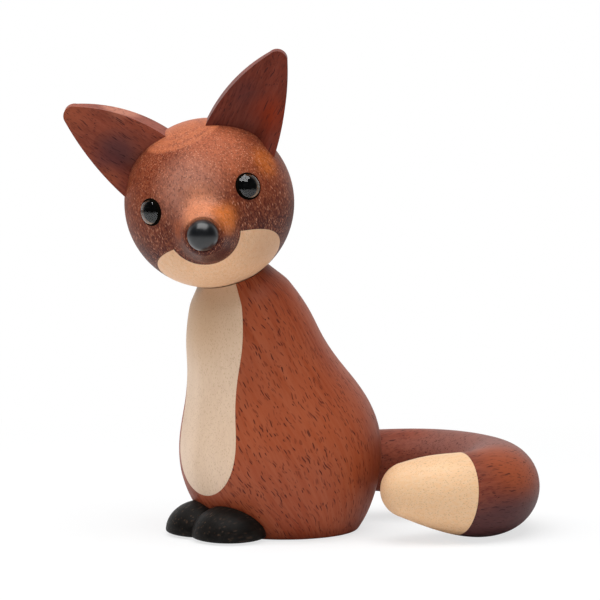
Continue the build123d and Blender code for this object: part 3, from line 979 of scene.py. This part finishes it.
# %% Nose
NOSE_RINGS = 64
HOLE_SHARE = 0.92  # the ball opens at its first ring outside this share of the spigot's radius
nose_bm = bmesh.new()
bmesh.ops.create_uvsphere(
    nose_bm, u_segments=ROUND_STEPS, v_segments=NOSE_RINGS, radius=NOSE_RADIUS
)
hole_radius = SPIGOT_RADIUS * HOLE_SHARE
back_cap = [v for v in nose_bm.verts if v.co.z < 0 and v.co.xy.length < hole_radius]
bmesh.ops.delete(nose_bm, geom=back_cap, context="VERTS")
drawn = bmesh.ops.extrude_edge_only(nose_bm, edges=open_edges(nose_bm))["geom"]
for vert in verts_of(drawn):
    vert.co.z = -NOSE_RADIUS - SPIGOT_LENGTH
bmesh.ops.holes_fill(nose_bm, edges=open_edges(nose_bm), sides=0)
finish_piece("nose_ball", nose_bm, nose_frame, nose_lacquer, "nose_black", "nose")

# %% [markdown]
# Each eye is a clear glass dome over a painted disc, sunk in a drilled hole. The glass is a
# cap cut from a sphere, drawn down to its flat back. The disc is cemented to the glass, so
# its face reaches a hair into it: an air gap there would mirror like a fish tank's side.
# For the same reason its black rim runs up the glass's wall as a thin painted cup, and a
# thin black band covers the dome's steep skirt, which would mirror the white room. Rim and
# band are partly the eye's own black edge and partly painted shade of the socket round it.

# %% Glass and paint
def make_eye_glass_finish():
    """Clear polished glass."""
    finish, tree, point = start_finish("polished_glass", head_axes, HEAD_CENTRE)
    surface = tree.nodes["Principled BSDF"]
    cloud = add_noise(tree, point, 0.3, 1.0)
    colour = add_mix(tree, cloud, (0.93, 0.95, 0.96), (0.98, 0.985, 0.985))
    tree.links.new(colour, surface.inputs["Base Color"])
    surface.inputs["Roughness"].default_value = 0.02
    surface.inputs["IOR"].default_value = 1.5
    surface.inputs["Transmission Weight"].default_value = 1.0
    return finish


# Radii of the paint in millimetres from the middle of the eye
PUPIL_EDGES = (2.4, 2.6)
# The black rim is partly the eye's own black edge and partly painted shade of the socket.
RIM_EDGES = (3.2, 3.4)
# Painted light: the iris is painted paler outwards and down, where light through the glass would
# gather.
GLOW_WAY = (0.6, -0.8)  # outwards and down in the eye's own frame
GLOW_EDGES = (1.2, 3.8)
THREADS_ROUND = 7.0
THREADS_OUT = 0.7
PAINT_ROUGHNESS = 0.4
PAINT_WAVES = 0.00003


def make_eye_paint(name, side):
    """A black pupil, a brown iris with a painted glow of light low on its outer side, and a black
    rim that is partly painted shade of the socket.
    """
    own_frame = eye_frame(side)
    finish, tree, point = start_finish(name, own_frame.to_3x3().to_4x4(), own_frame.translation)
    split = tree.nodes.new("ShaderNodeSeparateXYZ")
    tree.links.new(point, split.inputs[0])
    square = add_math(tree, "POWER", split.outputs["X"], 2.0)
    square = add_math(tree, "ADD", square, add_math(tree, "POWER", split.outputs["Y"], 2.0))
    reach = add_math(tree, "SQRT", square)
    turn = add_math(tree, "ARCTAN2", split.outputs["Y"], split.outputs["X"])
    ray_point = tree.nodes.new("ShaderNodeCombineXYZ")
    tree.links.new(add_math(tree, "MULTIPLY", turn, THREADS_ROUND), ray_point.inputs["X"])
    tree.links.new(add_math(tree, "MULTIPLY", reach, THREADS_OUT), ray_point.inputs["Y"])
    threads = add_noise(tree, ray_point.outputs[0], 1.6)
    lit_side = tree.nodes.new("ShaderNodeVectorMath")
    lit_side.operation = "DOT_PRODUCT"
    tree.links.new(point, lit_side.inputs[0])
    lit_side.inputs[1].default_value = (GLOW_WAY[0] * side, GLOW_WAY[1], 0.0)
    glow = add_ramp(tree, lit_side.outputs["Value"], *GLOW_EDGES)
    iris = add_ramp(tree, threads, 0.35, 0.7)
    iris = add_mix(tree, iris, (0.075, 0.030, 0.010), (0.16, 0.07, 0.028))
    iris = add_mix(tree, glow, iris, (0.46, 0.26, 0.14))
    colour = add_mix(tree, add_ramp(tree, reach, *PUPIL_EDGES), (0.002, 0.002, 0.002), iris)
    colour = add_mix(tree, add_ramp(tree, reach, *RIM_EDGES), colour, (0.004, 0.003, 0.002))
    rough = add_math(tree, "MULTIPLY_ADD", threads, 0.1, PAINT_ROUGHNESS)
    finish_surface(tree, colour, rough, threads, PAINT_WAVES, strength=0.2, gloss=0.0)
    return finish


eye_glass_finish = make_eye_glass_finish()
print("finish:", eye_glass_finish.name)

# %% Sizes of an eye
# All in metres. The levels are measured from the centre of the ball, out of the socket
EYE_RADIUS = 0.004
EYE_DEPTH = 0.0026
DOME_RISE = 0.002
GLASS_WALL = 0.0019
DISC_RADIUS = 0.00395
DISC_WALL = 0.0006
CEMENT = 0.00004
CUP_WALL = 0.0001
CUP_HEIGHT = 0.0016
BEVEL_WIDTH = 0.0007
BEVEL_RISE = 0.00012
BAND_PROUD = 0.00003
BAND_INNER = 0.0035
BAND_WALL = 0.00006
DISC_BACK = BALL_RADIUS - EYE_DEPTH
GLASS_BACK = DISC_BACK + DISC_WALL
dome_radius = (EYE_RADIUS**2 + DOME_RISE**2) / (2 * DOME_RISE)
rim_level = dome_radius - DOME_RISE
dome_centre = GLASS_BACK + GLASS_WALL - rim_level
print("dome radius in mm:", round(dome_radius * 1000, 2))

# %% Glass of an eye
def cut_sphere(bm, radius, low, high=None):
    """A sphere in a bmesh, kept above a low level and below a high one."""
    bmesh.ops.create_uvsphere(bm, u_segments=ROUND_STEPS, v_segments=ROUND_STEPS, radius=radius)
    cuts = [(low, True)] if high is None else [(low, True), (high, False)]
    for level, below in cuts:
        bmesh.ops.bisect_plane(
            bm, geom=all_of(bm), dist=MERGE_DISTANCE, plane_co=(0, 0, level), plane_no=(0, 0, 1),
            clear_inner=below, clear_outer=not below
        )


def make_dome(hand, side):
    """A clear cap cut from a sphere, drawn down to its flat back."""
    bm = bmesh.new()
    cut_sphere(bm, dome_radius, rim_level)
    drawn = bmesh.ops.extrude_edge_only(bm, edges=open_edges(bm))["geom"]
    for vert in verts_of(drawn):
        vert.co.z -= GLASS_WALL
    bmesh.ops.holes_fill(bm, edges=open_edges(bm), sides=0)
    place = eye_frame(side) @ Matrix.Translation((0, 0, dome_centre))
    finish_piece("eye_dome_" + hand, bm, place, eye_glass_finish, "eye_glass", "eye_glass_" + hand)


print("dome helpers ready")

# %% Paint of an eye
def make_band():
    """The black edge of an eye, partly painted shade of its socket: a thin closed band laid over
    the skirt of its dome.
    """
    bm = bmesh.new()
    radius = dome_radius + BAND_PROUD
    cut_sphere(bm, radius, rim_level, math.sqrt(radius**2 - BAND_INNER**2))
    bmesh.ops.solidify(bm, geom=bm.faces[:], thickness=BAND_WALL)
    bmesh.ops.translate(bm, verts=bm.verts, vec=(0, 0, dome_centre - DISC_BACK))
    band = bpy.data.meshes.new("eye_band")
    bm.to_mesh(band)
    bm.free()
    return band


def make_pupil(hand, side):
    """A painted disc with a thin cup up the glass's wall and a band over its skirt."""
    bm = bmesh.new()
    bmesh.ops.create_circle(bm, cap_ends=True, segments=ROUND_STEPS, radius=DISC_RADIUS)
    top = bmesh.ops.extrude_face_region(bm, geom=bm.faces[:])["geom"]
    bmesh.ops.translate(bm, verts=verts_of(top), vec=(0, 0, DISC_WALL + CEMENT))
    top_face = [item for item in top if isinstance(item, bmesh.types.BMFace)]
    ring = bmesh.ops.inset_region(bm, faces=top_face, thickness=CUP_WALL)["faces"]
    cup = bmesh.ops.extrude_face_region(bm, geom=ring)["geom"]
    bmesh.ops.delete(bm, geom=ring, context="FACES")
    bmesh.ops.translate(bm, verts=verts_of(cup), vec=(0, 0, CUP_HEIGHT))
    bmesh.ops.inset_region(bm, faces=top_face, thickness=BEVEL_WIDTH, depth=BEVEL_RISE)
    bm.from_mesh(make_band())
    place = eye_frame(side) @ Matrix.Translation((0, 0, DISC_BACK))
    paint = make_eye_paint("eye_paint_" + hand, side)
    finish_piece("eye_pupil_" + hand, bm, place, paint, "eye_paint", "eye_disc_" + hand)


print("pupil helpers ready")

# %% Both eyes
for side, hand in ((1, "left"), (-1, "right")):
    make_dome(hand, side)
    make_pupil(hand, side)

# %% End
print("end of scene")
